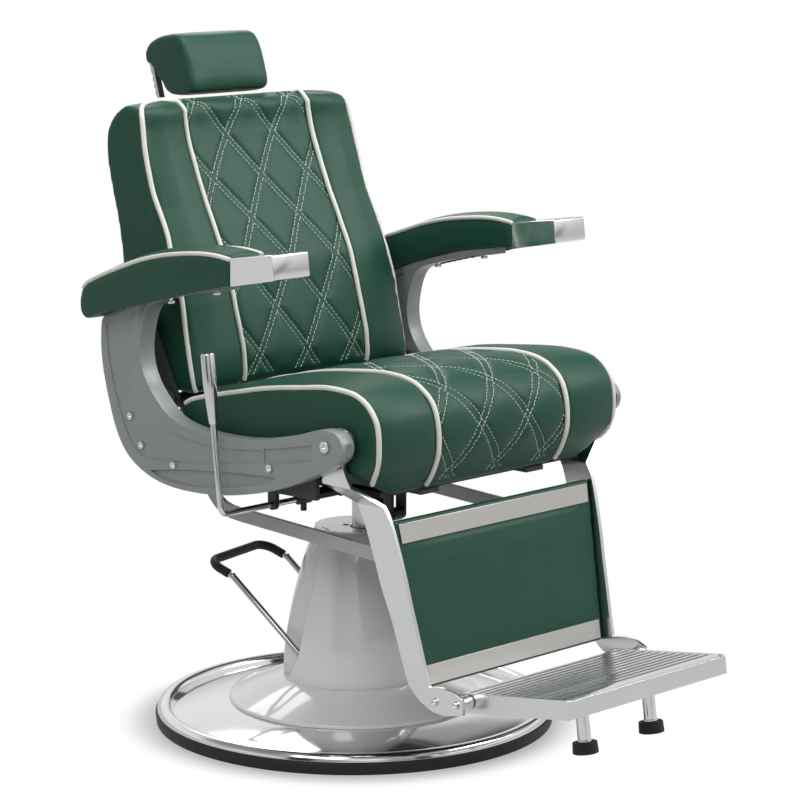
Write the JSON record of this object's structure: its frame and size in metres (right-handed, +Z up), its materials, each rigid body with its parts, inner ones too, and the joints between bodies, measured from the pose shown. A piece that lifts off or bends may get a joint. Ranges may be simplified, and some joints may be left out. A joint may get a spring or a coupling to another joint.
{
  "type": "barber chair",
  "caption": "Hydraulic barber chair: round pump base, swivelling padded seat in cast side frames, reclining back with headrest, linked leg rest and ribbed footplate.",
  "frame": {"origin": "centre of the round base's underside, on the floor", "axes": "+Z up, the sitter faces -Y, +X is the sitter's left"},
  "size_m": [0.703, 1.0495, 1.1186],
  "materials": {
    "green_leather": "satin",
    "grey_paint": "satin",
    "white_paint": "gloss",
    "dark_steel": "satin",
    "structural_steel": "matte",
    "polished_aluminium": "polished",
    "brushed_strip": "brushed",
    "chrome": "polished",
    "bright_steel": "ground",
    "rubber": "matte",
    "plywood": "matte",
    "cast_iron": "matte"
  },
  "bodies": {
    "base": {"base_plate": "structural_steel", "rubber_rim": "rubber", "base_disc": "chrome", "pump_cylinder": "cast_iron", "pump_bolts": "bright_steel", "ram_gland": "bright_steel", "column_dish": "white_paint", "column_cover": "white_paint", "cover_cap": "white_paint", "pump_block": "cast_iron"},
    "pedal": {"pedal_shaft": "bright_steel", "pedal_frame": "chrome", "pedal_grip": "rubber"},
    "lift": {"ram": "bright_steel"},
    "seat": {"seat_bracket": "structural_steel", "seat_frame": "structural_steel", "seat_board": "plywood", "seat_cushion": "green_leather", "side_frame_L": "grey_paint", "side_frame_R": "grey_paint", "frame_screws": "chrome", "leg_pivot_bolts": "chrome", "back_pivot_pins": "bright_steel", "arm_pad_L": "green_leather", "arm_pad_R": "green_leather", "arm_cap_L": "chrome", "arm_cap_R": "chrome", "arm_screws": "chrome", "lock_fork": "dark_steel", "lock_fork_pin": "bright_steel", "lock_barrel": "dark_steel", "lever_hangers": "dark_steel"},
    "lever": {"recline_lever": "chrome", "lever_grip": "chrome"},
    "lock_piston": {"lock_rod": "chrome"},
    "back": {"back_frame": "structural_steel", "link_pins_rear": "bright_steel", "lock_rear_pin": "bright_steel", "back_cushion": "green_leather", "back_panel": "green_leather", "headrest_sockets": "chrome"},
    "headrest": {"headrest_bars": "chrome", "headrest_pad": "green_leather"},
    "link_left": {"link_bar_L": "grey_paint"},
    "link_right": {"link_bar_R": "grey_paint"},
    "leg_rest": {"leg_arm_L": "polished_aluminium", "leg_arm_R": "polished_aluminium", "leg_tie": "structural_steel", "link_pins_front": "bright_steel", "leg_board": "plywood", "leg_pad": "green_leather", "panel_strips": "brushed_strip", "leg_screws": "chrome", "foot_hinge_pin": "bright_steel"},
    "footplate": {"footplate": "polished_aluminium", "foot_studs": "bright_steel"},
    "glide_left": {"glide_L": "chrome", "glide_pad_L": "rubber"},
    "glide_right": {"glide_R": "chrome", "glide_pad_R": "rubber"}
  },
  "joints": [
    {"name": "lift", "type": "slide", "parent": "base", "child": "lift", "axis": [0, 0, 1], "range_m": [-0.05, 0.105]},
    {"name": "swivel", "type": "hinge", "parent": "lift", "child": "seat", "pos_m": [0, -0.022, 0.4], "axis": [0, 0, 1], "continuous": true},
    {"name": "pump_pedal", "type": "hinge", "parent": "base", "child": "pedal", "pos_m": [-0.00588, 0.0243, 0.092], "axis": [-0.972, -0.2351, 0], "range_deg": [0, 25], "stiffness_Nm_per_rad": 8, "springref_deg": -22.92},
    {"name": "recline_lever", "type": "hinge", "parent": "seat", "child": "lever", "pos_m": [-0.2, -0.054, 0.404], "axis": [1, 0, 0], "range_deg": [-20, 20], "stiffness_Nm_per_rad": 20},
    {"name": "recline", "type": "hinge", "parent": "seat", "child": "back", "pos_m": [0, 0.165, 0.548], "axis": [-1, 0, 0], "range_deg": [0, 40]},
    {"name": "leg_rest", "type": "hinge", "parent": "seat", "child": "leg_rest", "pos_m": [0, -0.265, 0.537], "axis": [-1, 0, 0], "range_deg": [0, 24.3]},
    {"name": "lock_piston", "type": "slide", "parent": "seat", "child": "lock_piston", "axis": [0, 0.9646, 0.2639], "range_m": [-0.0583, 0]},
    {"name": "link_left", "type": "hinge", "parent": "back", "child": "link_left", "pos_m": [0.194, 0.19532, 0.44226], "axis": [-1, 0, 0], "range_deg": [-38.6, 0]},
    {"name": "link_right", "type": "hinge", "parent": "back", "child": "link_right", "pos_m": [-0.194, 0.19532, 0.44226], "axis": [-1, 0, 0], "range_deg": [-38.6, 0]},
    {"name": "headrest", "type": "slide", "parent": "back", "child": "headrest", "axis": [0, 0.2874, 0.9578], "range_m": [0, 0.09]},
    {"name": "footplate", "type": "hinge", "parent": "leg_rest", "child": "footplate", "pos_m": [0, -0.436, 0.15], "axis": [-1, 0, 0], "range_deg": [0, 65]},
    {"name": "glide_left", "type": "slide", "parent": "footplate", "child": "glide_left", "axis": [0, 0.1461, 0.9893], "range_m": [-0.008, 0.008]},
    {"name": "glide_right", "type": "slide", "parent": "footplate", "child": "glide_right", "axis": [0, 0.1461, 0.9893], "range_m": [-0.008, 0.008]}
  ],
  "couplings": [
    {"joint": "leg_rest", "follows": "recline", "ratio": 0.6052},
    {"joint": "lock_piston", "follows": "recline", "m_per_rad": -0.0833},
    {"joint": "link_left", "follows": "recline", "ratio": -0.9631},
    {"joint": "link_right", "follows": "recline", "ratio": -0.9631}
  ]
}
